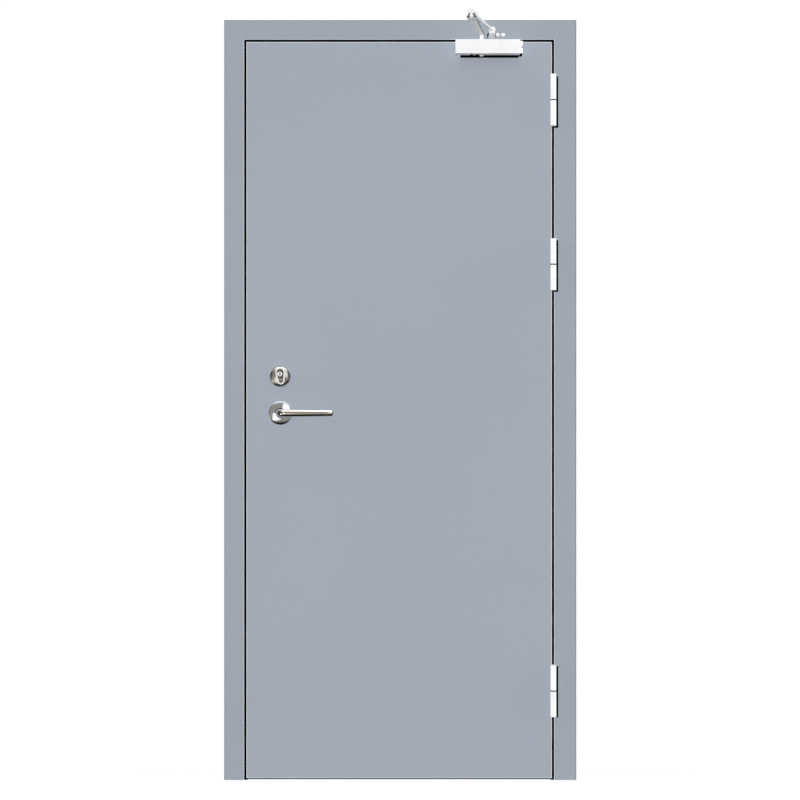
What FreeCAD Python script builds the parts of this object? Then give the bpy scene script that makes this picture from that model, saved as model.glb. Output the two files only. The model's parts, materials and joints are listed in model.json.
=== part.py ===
import FreeCAD, Part
import math
import os

import Sketcher

# Steel security door with its frame, about 950 mm wide and 2050 mm high.
# X runs to the hinge side, Y away from the side it opens to, Z up.
# The origin is the middle of the threshold's underside, on the floor.

SIZES = {
    # Frame
    "frame_width": 950,
    "frame_height": 2050,
    "hinge_face": 60,
    "lock_face": 54,
    "head_face": 53,
    "rebate_depth": 56,
    "stop_depth": 54,
    "stop_projection": 20,
    "frame_sheet": 2,
    "threshold_height": 20,
    "threshold_wall": 3,
    # Leaf
    "leaf_thickness": 50,
    "leaf_sheet": 1.5,
    "edge_gap": 6,
    "floor_gap": 5,
    "lock_bevel": 3,
    "core_margin": 6,
    "cut_margin": 1,
    # Seals
    "seal_width": 10,
    "seal_inset": 2,
    "seal_clearance": 1,
    # Wall anchors
    "anchor_radius": 5.5,
    "anchor_margin": 200,
    "floor_bolt_inset": 175,
    # Hinges
    "barrel_radius": 8,
    "barrel_standoff": 8,
    "barrel_length": 68,
    "washer_thick": 3,
    "collar_inset": 1,
    "hinge_pin": 4.5,
    "hinge_play": 0.05,
    "pin_reach": 50,
    "pin_room": 3,
    "wing_thick": 3,
    "wing_depth": 32,
    "wing_margin": 5,
    "top_hinge_drop": 158.5,
    "middle_hinge_drop": 601,
    "bottom_hinge_rise": 237.5,
    "notch_side": 6,
    "notch_end": 4,
    # Lever handle
    "lever_setback": 92,
    "lever_height": 990,
    "rose_radius": 32,
    "rose_thick": 9,
    "neck_radius": 10.5,
    "neck_start": 1,
    "neck_play": 0.4,
    "lever_reach": 145,
    "lever_standoff": 50,
    "lever_tall": 21,
    "lever_deep": 14,
    "lever_bend": 17,
    "lever_tip": 8.5,
    "lever_edge": 4.5,
    "spindle_width": 8,
    "lock_opening": 24,
    # Key cylinder
    "cylinder_rise": 98,
    "guard_radius": 28,
    "guard_thick": 18,
    "case_head": 13,
    "case_foot": 8.5,
    "case_rise": 10,
    "case_fall": 15,
    "case_lean": 3,
    "case_shift": 2,
    "case_thick": 6,
    "plug_radius": 8.5,
    "plug_rise": 6.5,
    "plug_proud": 1,
    # Lock edge
    "faceplate_width": 22,
    "faceplate_length": 240,
    "faceplate_thick": 3,
    "faceplate_rise": 50,
    "latch_width": 12,
    "latch_length": 26,
    "bolt_width": 14,
    "bolt_length": 30,
    "bolt_recess": 0.5,
    # Door closer
    "closer_setback": 93,
    "closer_length": 172,
    "closer_drop": 7,
    "closer_tall": 38,
    "closer_deep": 60,
    "cover_sheet": 2,
    "cover_lip": 22,
    "body_inset": 14,
    "cap_thick": 7.5,
    "cap_near": 12,
    "cap_far": 50,
    "cap_inset": 2,
    "cap_groove": 3.5,
    "pinion_setback": 194,
    "pinion_standoff": 30,
    "pinion_radius": 5,
    "pinion_tail": 4,
    "pinion_rise": 16,
    # Closer arms
    "arm_thick": 6,
    "arm_hub": 6,
    "hub_rise": 1.5,
    "arm_end": 12,
    "elbow_out": 212,
    "elbow_side": 36,
    "elbow_boss": 8,
    "arm_spacing": 6,
    "pivot_play": 0.6,
    "rod_radius": 3.75,
    "rod_start": 6,
    "rod_end": 120,
    "sleeve_radius": 5,
    "sleeve_start": 85,
    "sleeve_stop": 24,
    "tongue_width": 14,
    "eye_radius": 9,
    "eye_thick": 8.5,
    "pin_head": 6,
    "head_rise": 3,
    # Closer shoe
    "shoe_setback": 166,
    "shoe_standoff": 27,
    "shoe_pin": 4,
    "shoe_plate": 2,
    "shoe_length": 60,
    "shoe_tall": 17,
    "shoe_rise": 1,
    "bracket_foot": 25,
    "bracket_tip": 16,
    "bracket_slope": 8,
}

# Places worked out from the sizes
FRAME_LEFT = "(-Sizes.frame_width / 2)"
FRAME_RIGHT = "(Sizes.frame_width / 2)"
STOP_FRONT = "(-Sizes.stop_depth / 2)"
STOP_BACK = "(Sizes.stop_depth / 2)"
FRAME_FRONT = "(-Sizes.stop_depth / 2 - Sizes.rebate_depth)"
HINGE_REBATE = "(Sizes.frame_width / 2 - Sizes.hinge_face)"
LOCK_REBATE = "(Sizes.lock_face - Sizes.frame_width / 2)"
HINGE_SOFFIT = f"({HINGE_REBATE} - Sizes.stop_projection)"
LOCK_SOFFIT = f"({LOCK_REBATE} + Sizes.stop_projection)"
HEAD_REBATE = "(Sizes.frame_height - Sizes.head_face)"
HEAD_SOFFIT = f"({HEAD_REBATE} - Sizes.stop_projection)"
LEAF_RIGHT = f"({HINGE_REBATE} - Sizes.edge_gap)"
LEAF_LEFT = f"({LOCK_REBATE} + Sizes.edge_gap)"
LEAF_TOP = f"({HEAD_REBATE} - Sizes.edge_gap)"
LEAF_BOTTOM = "Sizes.floor_gap"
LEAF_BACK = f"({FRAME_FRONT} + Sizes.leaf_thickness)"
LEAF_MIDDLE = f"({FRAME_FRONT} + Sizes.leaf_thickness / 2)"
AXIS_X = f"({HINGE_REBATE} - Sizes.edge_gap / 2)"
AXIS_Y = f"({FRAME_FRONT} - Sizes.barrel_standoff)"
LEVER_X = f"({LEAF_LEFT} + Sizes.lever_setback)"
CYLINDER_Z = "(Sizes.lever_height + Sizes.cylinder_rise)"
FACEPLATE_LOW = "(Sizes.lever_height + Sizes.faceplate_rise - Sizes.faceplate_length / 2)"
FACEPLATE_HIGH = "(Sizes.lever_height + Sizes.faceplate_rise + Sizes.faceplate_length / 2)"
PINION_X = f"({AXIS_X} - Sizes.pinion_setback)"
PINION_Y = f"({FRAME_FRONT} - Sizes.pinion_standoff)"
SHOE_X = f"({AXIS_X} - Sizes.shoe_setback)"
SHOE_Y = f"({FRAME_FRONT} - Sizes.shoe_standoff)"
ELBOW_Y = f"({FRAME_FRONT} - Sizes.elbow_out)"
ELBOW_X = f"({PINION_X} - Sizes.elbow_side)"
CLOSER_TOP = f"({LEAF_TOP} - Sizes.closer_drop)"
CLOSER_BOTTOM = f"({CLOSER_TOP} - Sizes.closer_tall)"
ARM_BOTTOM = f"({CLOSER_TOP} + Sizes.pinion_rise)"
ARM_TOP = f"({ARM_BOTTOM} + Sizes.arm_thick)"
EYE_BOTTOM = f"({ARM_TOP} + Sizes.arm_spacing)"
EYE_TOP = f"({EYE_BOTTOM} + Sizes.eye_thick)"

# Edges closer than this to a plane lie on it
TOUCH = 0.001

doc = FreeCAD.newDocument("security_door")
pieces = []


def make_sheet():
    """Write every driving dimension to the sheet under its own name."""
    sheet = doc.addObject("Spreadsheet::Sheet", "Sizes")
    for row, (alias, value) in enumerate(SIZES.items(), start=1):
        cell = f"A{row}"
        sheet.set(cell, str(value))
        sheet.setAlias(cell, alias)
    doc.recompute()


def new_body(label):
    """Start a piece, which is written to a file of the same name."""
    body = doc.addObject("PartDesign::Body", label)
    body.Label = label
    pieces.append(body)
    return body


def new_sketch(body, role, offset):
    """Lay a sketch on one of the body's own planes, moved along its normal."""
    sketch = body.newObject("Sketcher::SketchObject", f"{body.Name}_sketch")
    plane = [item for item in body.Origin.OriginFeatures if item.Role == role][0]
    sketch.AttachmentSupport = [(plane, "")]
    sketch.MapMode = "FlatFace"
    sketch.setExpression("AttachmentOffset.Base.z", offset)
    return sketch


def number_of(sketch, expression):
    """The present value of an expression, as a plain number."""
    value = sketch.evalExpression(expression)
    return float(getattr(value, "Value", value))


def pin_point(sketch, item, point, across, along):
    """Hold one point of a sketch at its two distances from the origin."""
    for kind, expression in (("DistanceX", across), ("DistanceY", along)):
        value = number_of(sketch, expression)
        constraint = Sketcher.Constraint(kind, -1, 1, item, point, value)
        number = sketch.addConstraint(constraint)
        sketch.setExpression(f"Constraints[{number}]", expression)


def draw_outline(sketch, corners):
    """Draw a closed outline of straight lines through the given corners."""
    places = [
        FreeCAD.Vector(number_of(sketch, across), number_of(sketch, along), 0)
        for across, along in corners
    ]
    lines = []
    for start, end in zip(places, places[1:] + places[:1]):
        lines.append(sketch.addGeometry(Part.LineSegment(start, end)))
    for here, after in zip(lines, lines[1:] + lines[:1]):
        sketch.addConstraint(Sketcher.Constraint("Coincident", here, 2, after, 1))
    for line, (across, along) in zip(lines, corners):
        pin_point(sketch, line, 1, across, along)


def draw_circle(sketch, across, along, radius):
    """Draw one circle at a held centre."""
    centre = FreeCAD.Vector(number_of(sketch, across), number_of(sketch, along), 0)
    size = number_of(sketch, radius)
    item = sketch.addGeometry(Part.Circle(centre, FreeCAD.Vector(0, 0, 1), size))
    pin_point(sketch, item, 3, across, along)
    number = sketch.addConstraint(Sketcher.Constraint("Radius", item, size))
    sketch.setExpression(f"Constraints[{number}]", radius)


def close_loop(sketch, items):
    """Join arcs and lines end to start, each running smoothly into the next."""
    for here, after in zip(items, items[1:] + items[:1]):
        sketch.addConstraint(Sketcher.Constraint("Tangent", here, 2, after, 1))


def draw_arc(sketch, middle, radius, start, end):
    """Draw one arc, with its ends at two angles in radians."""
    circle = Part.Circle(middle, FreeCAD.Vector(0, 0, 1), radius)
    return sketch.addGeometry(Part.ArcOfCircle(circle, start, end))


def on_circle(middle, radius, angle):
    """The point of a circle at an angle in radians."""
    return middle + FreeCAD.Vector(radius * math.cos(angle), radius * math.sin(angle), 0)


def draw_belt(sketch, first, first_radius, second, second_radius):
    """Draw two round ends of unlike size, joined by straight sides."""
    here = FreeCAD.Vector(number_of(sketch, first[0]), number_of(sketch, first[1]), 0)
    there = FreeCAD.Vector(number_of(sketch, second[0]), number_of(sketch, second[1]), 0)
    near = number_of(sketch, first_radius)
    far = number_of(sketch, second_radius)
    way = there - here
    heading = math.atan2(way.y, way.x)
    spread = math.acos((near - far) / way.Length)
    left = heading + spread
    right = heading - spread
    side = Part.LineSegment(on_circle(there, far, left), on_circle(here, near, left))
    other = Part.LineSegment(on_circle(here, near, right), on_circle(there, far, right))
    end = draw_arc(sketch, there, far, right, left)
    left_side = sketch.addGeometry(side)
    start = draw_arc(sketch, here, near, left, right + 2 * math.pi)
    right_side = sketch.addGeometry(other)
    close_loop(sketch, [end, left_side, start, right_side])
    for item, place, radius in ((start, first, first_radius), (end, second, second_radius)):
        pin_point(sketch, item, 3, place[0], place[1])
        number = sketch.addConstraint(Sketcher.Constraint("Radius", item, number_of(sketch, radius)))
        sketch.setExpression(f"Constraints[{number}]", radius)


def bevelled_corners(across, along, edge):
    """The eight corners of a rectangle between two pairs of limits, bevelled."""
    left, right = across
    low, high = along
    return [
        (f"({left} + {edge})", low),
        (f"({right} - {edge})", low),
        (right, f"({low} + {edge})"),
        (right, f"({high} - {edge})"),
        (f"({right} - {edge})", high),
        (f"({left} + {edge})", high),
        (left, f"({high} - {edge})"),
        (left, f"({low} + {edge})"),
    ]


def draw_grip(sketch, root, tip, middle, root_half, tip_radius):
    """Draw a bar in elevation: square at its root, tapered to a round tip."""
    root_x = number_of(sketch, root)
    centre_text = f"({tip} - {tip_radius})"
    centre = FreeCAD.Vector(number_of(sketch, centre_text), number_of(sketch, middle), 0)
    half = number_of(sketch, root_half)
    radius = number_of(sketch, tip_radius)
    upper = FreeCAD.Vector(root_x, centre.y + half, 0)
    lower = FreeCAD.Vector(root_x, centre.y - half, 0)
    up = FreeCAD.Vector(0, radius, 0)
    back = sketch.addGeometry(Part.LineSegment(upper, lower))
    low = sketch.addGeometry(Part.LineSegment(lower, centre - up))
    end = draw_arc(sketch, centre, radius, -math.pi / 2, math.pi / 2)
    top = sketch.addGeometry(Part.LineSegment(centre + up, upper))
    sketch.addConstraint(Sketcher.Constraint("Coincident", top, 2, back, 1))
    sketch.addConstraint(Sketcher.Constraint("Coincident", back, 2, low, 1))
    sketch.addConstraint(Sketcher.Constraint("Tangent", low, 2, end, 1))
    sketch.addConstraint(Sketcher.Constraint("Tangent", end, 2, top, 1))
    pin_point(sketch, back, 1, root, f"({middle} + {root_half})")
    pin_point(sketch, back, 2, root, f"({middle} - {root_half})")
    pin_point(sketch, end, 3, centre_text, middle)
    number = sketch.addConstraint(Sketcher.Constraint("Radius", end, radius))
    sketch.setExpression(f"Constraints[{number}]", tip_radius)


def draw_axis(sketch, across, low, high):
    """Draw an upright construction line to turn about."""
    x = number_of(sketch, across)
    start = FreeCAD.Vector(x, number_of(sketch, low), 0)
    end = FreeCAD.Vector(x, number_of(sketch, high), 0)
    line = sketch.addGeometry(Part.LineSegment(start, end), True)
    pin_point(sketch, line, 1, across, low)
    pin_point(sketch, line, 2, across, high)


def box_corners(left, right, low, high):
    """The four corners of a rectangle."""
    return [(left, low), (right, low), (right, high), (left, high)]


def pad(sketch, length):
    """Extrude a sketch into solid."""
    body = sketch.getParentGeoFeatureGroup()
    feature = body.newObject("PartDesign::Pad", f"{body.Name}_pad")
    feature.Profile = sketch
    feature.setExpression("Length", length)
    doc.recompute()
    return feature


def pocket(sketch, length):
    """Cut a sketch out along its normal and make sure that it cuts."""
    body = sketch.getParentGeoFeatureGroup()
    before = body.Shape.Volume
    feature = body.newObject("PartDesign::Pocket", f"{body.Name}_pocket")
    feature.Profile = sketch
    feature.setExpression("Length", length)
    feature.Reversed = True
    doc.recompute()
    if not feature.Shape.Volume < before:
        raise RuntimeError(f"{body.Label}: a pocket cuts nothing")
    return feature


def revolve(sketch):
    """Turn a sketch right round its own vertical axis."""
    body = sketch.getParentGeoFeatureGroup()
    feature = body.newObject("PartDesign::Revolution", f"{body.Name}_revolution")
    feature.Profile = sketch
    feature.ReferenceAxis = (sketch, ["V_Axis"])
    feature.Angle = 360
    doc.recompute()
    return feature


def block(label, across, back, up):
    """A plain block between three pairs of planes."""
    body = new_body(label)
    sketch = new_sketch(body, "XY_Plane", up[0])
    draw_outline(sketch, box_corners(across[0], across[1], back[0], back[1]))
    pad(sketch, f"{up[1]} - {up[0]}")
    return body


def cut_block(body, across, back, up):
    """Cut a rectangular space between three pairs of planes."""
    sketch = new_sketch(body, "XY_Plane", up[0])
    draw_outline(sketch, box_corners(across[0], across[1], back[0], back[1]))
    pocket(sketch, f"{up[1]} - {up[0]}")


def edge_line(back):
    """How far left the leaf's bevelled lock edge stands at a given depth."""
    return f"({LEAF_LEFT} + Sizes.lock_bevel * ({back} - {FRAME_FRONT}) / Sizes.leaf_thickness)"


def jamb(label, wall, rebate, soffit, inward):
    """One side of the frame: a folded tube with a rebate and a stop."""
    body = new_body(label)
    sketch = new_sketch(body, "XY_Plane", "0")
    draw_outline(sketch, [
        (wall, FRAME_FRONT),
        (rebate, FRAME_FRONT),
        (rebate, STOP_FRONT),
        (soffit, STOP_FRONT),
        (soffit, STOP_BACK),
        (wall, STOP_BACK),
    ])
    wall_in = f"({wall} {inward} Sizes.frame_sheet)"
    outward = "+" if inward == "-" else "-"
    rebate_in = f"({rebate} {outward} Sizes.frame_sheet)"
    soffit_in = f"({soffit} {outward} Sizes.frame_sheet)"
    front_in = f"({FRAME_FRONT} + Sizes.frame_sheet)"
    stop_in = f"({STOP_FRONT} + Sizes.frame_sheet)"
    back_in = f"({STOP_BACK} - Sizes.frame_sheet)"
    draw_outline(sketch, [
        (wall_in, front_in),
        (rebate_in, front_in),
        (rebate_in, stop_in),
        (soffit_in, stop_in),
        (soffit_in, back_in),
        (wall_in, back_in),
    ])
    pad(sketch, "Sizes.frame_height")
    return body


def anchor_heights():
    """Heights of the three wall anchors in each jamb."""
    lowest = "Sizes.anchor_margin"
    highest = "(Sizes.frame_height - Sizes.anchor_margin)"
    return [lowest, "(Sizes.frame_height / 2)", highest]


def cut_anchors(body, start, length):
    """The wall anchors' bolt holes, straight through the jamb."""
    holes = new_sketch(body, "YZ_Plane", start)
    for height in anchor_heights():
        draw_circle(holes, "0", height, "Sizes.anchor_radius")
    pocket(holes, length)


def make_frame():
    """The two jambs, the head between them and the threshold bar."""
    hinge_jamb = jamb("hinge_jamb", FRAME_RIGHT, HINGE_REBATE, HINGE_SOFFIT, "-")
    cut_anchors(hinge_jamb, HINGE_SOFFIT, f"{FRAME_RIGHT} - {HINGE_SOFFIT}")
    lock_jamb = jamb("lock_jamb", FRAME_LEFT, LOCK_REBATE, LOCK_SOFFIT, "+")
    cut_anchors(lock_jamb, FRAME_LEFT, f"{LOCK_SOFFIT} - {FRAME_LEFT}")
    strike_space = strike_planes()
    cut_block(lock_jamb, *strike_space)

    head = new_body("frame_head")
    sketch = new_sketch(head, "YZ_Plane", LOCK_REBATE)
    top = "Sizes.frame_height"
    draw_outline(sketch, [
        (FRAME_FRONT, top),
        (FRAME_FRONT, HEAD_REBATE),
        (STOP_FRONT, HEAD_REBATE),
        (STOP_FRONT, HEAD_SOFFIT),
        (STOP_BACK, HEAD_SOFFIT),
        (STOP_BACK, top),
    ])
    front_in = f"({FRAME_FRONT} + Sizes.frame_sheet)"
    stop_in = f"({STOP_FRONT} + Sizes.frame_sheet)"
    back_in = f"({STOP_BACK} - Sizes.frame_sheet)"
    top_in = "(Sizes.frame_height - Sizes.frame_sheet)"
    rebate_in = f"({HEAD_REBATE} + Sizes.frame_sheet)"
    soffit_in = f"({HEAD_SOFFIT} + Sizes.frame_sheet)"
    draw_outline(sketch, [
        (front_in, top_in),
        (front_in, rebate_in),
        (stop_in, rebate_in),
        (stop_in, soffit_in),
        (back_in, soffit_in),
        (back_in, top_in),
    ])
    pad(sketch, f"{HINGE_REBATE} - {LOCK_REBATE}")
    height = (f"({HEAD_SOFFIT} - Sizes.cut_margin)", "(Sizes.frame_height + Sizes.cut_margin)")
    depth = (STOP_FRONT, f"({STOP_BACK} + Sizes.cut_margin)")
    cut_block(head, (f"({LOCK_REBATE} - Sizes.cut_margin)", LOCK_SOFFIT), depth, height)
    cut_block(head, (HINGE_SOFFIT, f"({HINGE_REBATE} + Sizes.cut_margin)"), depth, height)

    threshold = block(
        "threshold",
        (LOCK_SOFFIT, HINGE_SOFFIT),
        (STOP_FRONT, STOP_BACK),
        ("0", "Sizes.threshold_height"),
    )
    wall = "Sizes.threshold_wall"
    cut_block(
        threshold,
        (LOCK_SOFFIT, HINGE_SOFFIT),
        (f"({STOP_FRONT} + {wall})", f"({STOP_BACK} - {wall})"),
        (wall, f"(Sizes.threshold_height - {wall})"),
    )
    holes = new_sketch(threshold, "XY_Plane", "0")
    draw_circle(holes, f"({FRAME_LEFT} + Sizes.floor_bolt_inset)", "0", "Sizes.anchor_radius")
    draw_circle(holes, f"({FRAME_RIGHT} - Sizes.floor_bolt_inset)", "0", "Sizes.anchor_radius")
    pocket(holes, "Sizes.threshold_height")


def strike_planes():
    """The space of the strike plate in the lock jamb's rebate side."""
    across = (f"({LOCK_REBATE} - Sizes.frame_sheet)", LOCK_REBATE)
    half_width = "Sizes.faceplate_width / 2"
    back = (f"({LEAF_MIDDLE} - {half_width})", f"({LEAF_MIDDLE} + {half_width})")
    up = (FACEPLATE_LOW, FACEPLATE_HIGH)
    return across, back, up


def latch_planes(width, length, middle):
    """Depth and height of one bolt's opening."""
    back = (f"({LEAF_MIDDLE} - {width} / 2)", f"({LEAF_MIDDLE} + {width} / 2)")
    up = (f"({middle} - {length} / 2)", f"({middle} + {length} / 2)")
    return back, up


def make_strike():
    """The strike plate, with its two openings."""
    across, back, up = strike_planes()
    strike = block("strike_plate", across, back, up)
    for width, length, middle in (
        ("Sizes.latch_width", "Sizes.latch_length", "Sizes.lever_height"),
        ("Sizes.bolt_width", "Sizes.bolt_length", CYLINDER_Z),
    ):
        hole_back, hole_up = latch_planes(width, length, middle)
        cut_block(strike, across, hole_back, hole_up)


def make_seals():
    """Rubber seals on the stops, which face the back of the leaf."""
    front = f"({LEAF_BACK} + Sizes.seal_clearance)"
    depth = (front, STOP_FRONT)
    top = f"({HEAD_SOFFIT} + Sizes.seal_inset)"
    low = ("Sizes.threshold_height", top)
    left = f"({LOCK_SOFFIT} - Sizes.seal_inset)"
    right = f"({HINGE_SOFFIT} + Sizes.seal_inset)"
    block("lock_seal", (f"({left} - Sizes.seal_width)", left), depth, low)
    block("hinge_seal", (right, f"({right} + Sizes.seal_width)"), depth, low)
    block(
        "head_seal",
        (f"({left} - Sizes.seal_width)", f"({right} + Sizes.seal_width)"),
        depth,
        (top, f"({top} + Sizes.seal_width)"),
    )


def leaf_skin(label, near, far, open_to):
    """Half of the leaf's shell: a shallow pan of folded sheet."""
    body = new_body(label)
    sketch = new_sketch(body, "XY_Plane", LEAF_BOTTOM)
    draw_outline(sketch, [
        (edge_line(near), near),
        (LEAF_RIGHT, near),
        (LEAF_RIGHT, far),
        (edge_line(far), far),
    ])
    pad(sketch, f"{LEAF_TOP} - {LEAF_BOTTOM}")
    inner_near = f"({near} {'+' if open_to == 'back' else '-'} Sizes.leaf_sheet)"
    inner_far = f"({far} {'+' if open_to == 'back' else '-'} Sizes.cut_margin)"
    hollow = new_sketch(body, "XY_Plane", f"{LEAF_BOTTOM} + Sizes.leaf_sheet")
    draw_outline(hollow, [
        (f"({edge_line(inner_near)} + Sizes.leaf_sheet)", inner_near),
        (f"({LEAF_RIGHT} - Sizes.leaf_sheet)", inner_near),
        (f"({LEAF_RIGHT} - Sizes.leaf_sheet)", inner_far),
        (f"({edge_line(inner_far)} + Sizes.leaf_sheet)", inner_far),
    ])
    pocket(hollow, f"{LEAF_TOP} - {LEAF_BOTTOM} - 2 * Sizes.leaf_sheet")
    return body


def cut_lock_openings(body):
    """Square openings behind the rose and the guard, for spindle and cylinder."""
    half = "Sizes.lock_opening / 2"
    across = (f"({LEVER_X} - {half})", f"({LEVER_X} + {half})")
    depth = (f"({FRAME_FRONT} - Sizes.cut_margin)", f"({LEAF_BACK} + Sizes.cut_margin)")
    for middle in ("Sizes.lever_height", CYLINDER_Z):
        cut_block(body, across, depth, (f"({middle} - {half})", f"({middle} + {half})"))


def faceplate_outline(sketch):
    """The lock faceplate's section, which follows the bevelled edge."""
    front = f"({LEAF_MIDDLE} - Sizes.faceplate_width / 2)"
    back = f"({LEAF_MIDDLE} + Sizes.faceplate_width / 2)"
    draw_outline(sketch, [
        (edge_line(front), front),
        (f"({edge_line(front)} + Sizes.faceplate_thick)", front),
        (f"({edge_line(back)} + Sizes.faceplate_thick)", back),
        (edge_line(back), back),
    ])


def make_leaf():
    """The leaf's two skins, its core, and the lock's plate and bolts."""
    front_skin = leaf_skin("leaf_front_skin", FRAME_FRONT, LEAF_MIDDLE, "back")
    back_skin = leaf_skin("leaf_back_skin", LEAF_BACK, LEAF_MIDDLE, "front")
    margin = "Sizes.core_margin"
    core = block(
        "leaf_core",
        (f"({LEAF_LEFT} + Sizes.lock_bevel + {margin})", f"({LEAF_RIGHT} - {margin})"),
        (f"({FRAME_FRONT} + Sizes.leaf_sheet)", f"({LEAF_BACK} - Sizes.leaf_sheet)"),
        (f"({LEAF_BOTTOM} + {margin})", f"({LEAF_TOP} - {margin})"),
    )
    for body in (front_skin, back_skin, core):
        cut_lock_openings(body)

    for body in (front_skin, back_skin):
        sketch = new_sketch(body, "XY_Plane", FACEPLATE_LOW)
        faceplate_outline(sketch)
        pocket(sketch, "Sizes.faceplate_length")

    plate = new_body("lock_faceplate")
    sketch = new_sketch(plate, "XY_Plane", FACEPLATE_LOW)
    faceplate_outline(sketch)
    pad(sketch, "Sizes.faceplate_length")
    for label, width, length, middle in (
        ("latch_bolt", "Sizes.latch_width", "Sizes.latch_length", "Sizes.lever_height"),
        ("dead_bolt", "Sizes.bolt_width", "Sizes.bolt_length", CYLINDER_Z),
    ):
        back, up = latch_planes(width, length, middle)
        core_side = f"({LEAF_LEFT} + Sizes.lock_bevel + {margin})"
        cut_block(plate, (f"({LEAF_LEFT} - Sizes.cut_margin)", core_side), back, up)
        recessed = f"({edge_line(LEAF_MIDDLE)} + Sizes.bolt_recess)"
        block(label, (recessed, core_side), back, up)


def barrel(label, low, length, wing_x):
    """One hinge barrel about the swing axis, with the wing that carries it."""
    body = new_body(label)
    wing = new_sketch(body, "XY_Plane", f"{low} + Sizes.wing_margin")
    draw_outline(wing, box_corners(
        wing_x[0],
        wing_x[1],
        AXIS_Y,
        f"({FRAME_FRONT} + Sizes.wing_depth)",
    ))
    pad(wing, f"{length} - 2 * Sizes.wing_margin")
    tube = new_sketch(body, "XY_Plane", low)
    draw_circle(tube, AXIS_X, AXIS_Y, "Sizes.barrel_radius")
    pad(tube, length)
    return body


def make_hinges():
    """Three lift-off hinges: the leaf's barrel stands on the frame's."""
    splits = {
        "top": f"({LEAF_TOP} - Sizes.top_hinge_drop)",
        "middle": f"({LEAF_TOP} - Sizes.middle_hinge_drop)",
        "bottom": f"({LEAF_BOTTOM} + Sizes.bottom_hinge_rise)",
    }
    hinge_jamb = [piece for piece in pieces if piece.Label == "hinge_jamb"][0]
    notch = new_sketch(hinge_jamb, "XZ_Plane", f"-({FRAME_FRONT} + Sizes.frame_sheet)")
    for place, split in splits.items():
        leaf_low = f"({split} + Sizes.washer_thick / 2)"
        frame_high = f"({split} - Sizes.washer_thick / 2)"
        frame_low = f"({frame_high} - Sizes.barrel_length)"
        leaf_high = f"({leaf_low} + Sizes.barrel_length)"
        leaf_wing = (LEAF_RIGHT, f"({LEAF_RIGHT} + Sizes.wing_thick)")
        frame_wing = (f"({HINGE_REBATE} - Sizes.wing_thick)", HINGE_REBATE)
        upper = barrel(f"{place}_hinge_leaf_barrel", leaf_low, "Sizes.barrel_length", leaf_wing)
        bore = new_sketch(upper, "XY_Plane", leaf_low)
        draw_circle(bore, AXIS_X, AXIS_Y, "Sizes.hinge_pin + Sizes.hinge_play")
        pocket(bore, "Sizes.pin_reach + Sizes.pin_room")
        barrel(f"{place}_hinge_frame_barrel", frame_low, "Sizes.barrel_length", frame_wing)

        pin = new_body(f"{place}_hinge_pin")
        washer = new_sketch(pin, "XY_Plane", frame_high)
        draw_circle(washer, AXIS_X, AXIS_Y, "Sizes.barrel_radius - Sizes.collar_inset")
        pad(washer, "Sizes.washer_thick")
        shank = new_sketch(pin, "XY_Plane", leaf_low)
        draw_circle(shank, AXIS_X, AXIS_Y, "Sizes.hinge_pin")
        pad(shank, "Sizes.pin_reach")

        side = f"({AXIS_X} + Sizes.barrel_radius + Sizes.notch_side)"
        low = f"({frame_low} - Sizes.notch_end)"
        high = f"({leaf_high} - Sizes.notch_end)"
        inner = f"({HINGE_REBATE} - Sizes.cut_margin)"
        draw_outline(notch, box_corners(inner, side, low, high))
    pocket(notch, "Sizes.frame_sheet")


def turned(label, centre_x, centre_z, base, side, profile):
    """A round piece about an axis along Y, from radius and height pairs."""
    body = new_body(label)
    sketch = body.newObject("Sketcher::SketchObject", f"{label}_sketch")
    plane = [item for item in body.Origin.OriginFeatures if item.Role == "XY_Plane"][0]
    sketch.AttachmentSupport = [(plane, "")]
    sketch.MapMode = "FlatFace"
    sketch.setExpression("AttachmentOffset.Base.x", centre_x)
    sketch.setExpression("AttachmentOffset.Base.y", base)
    sketch.setExpression("AttachmentOffset.Base.z", centre_z)
    corners = [(radius, f"({side} * ({rise}))") for radius, rise in profile]
    draw_outline(sketch, corners)
    revolve(sketch)
    return body


def make_rose(label, base, side):
    """The round rose behind a lever, bored at its middle for the lever's neck."""
    bore = "(Sizes.neck_radius + Sizes.neck_play)"
    return turned(label, LEVER_X, "Sizes.lever_height", base, side, [
        (bore, "0"),
        ("Sizes.rose_radius", "0"),
        ("Sizes.rose_radius", "Sizes.rose_thick"),
        (bore, "Sizes.rose_thick"),
    ])


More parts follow.
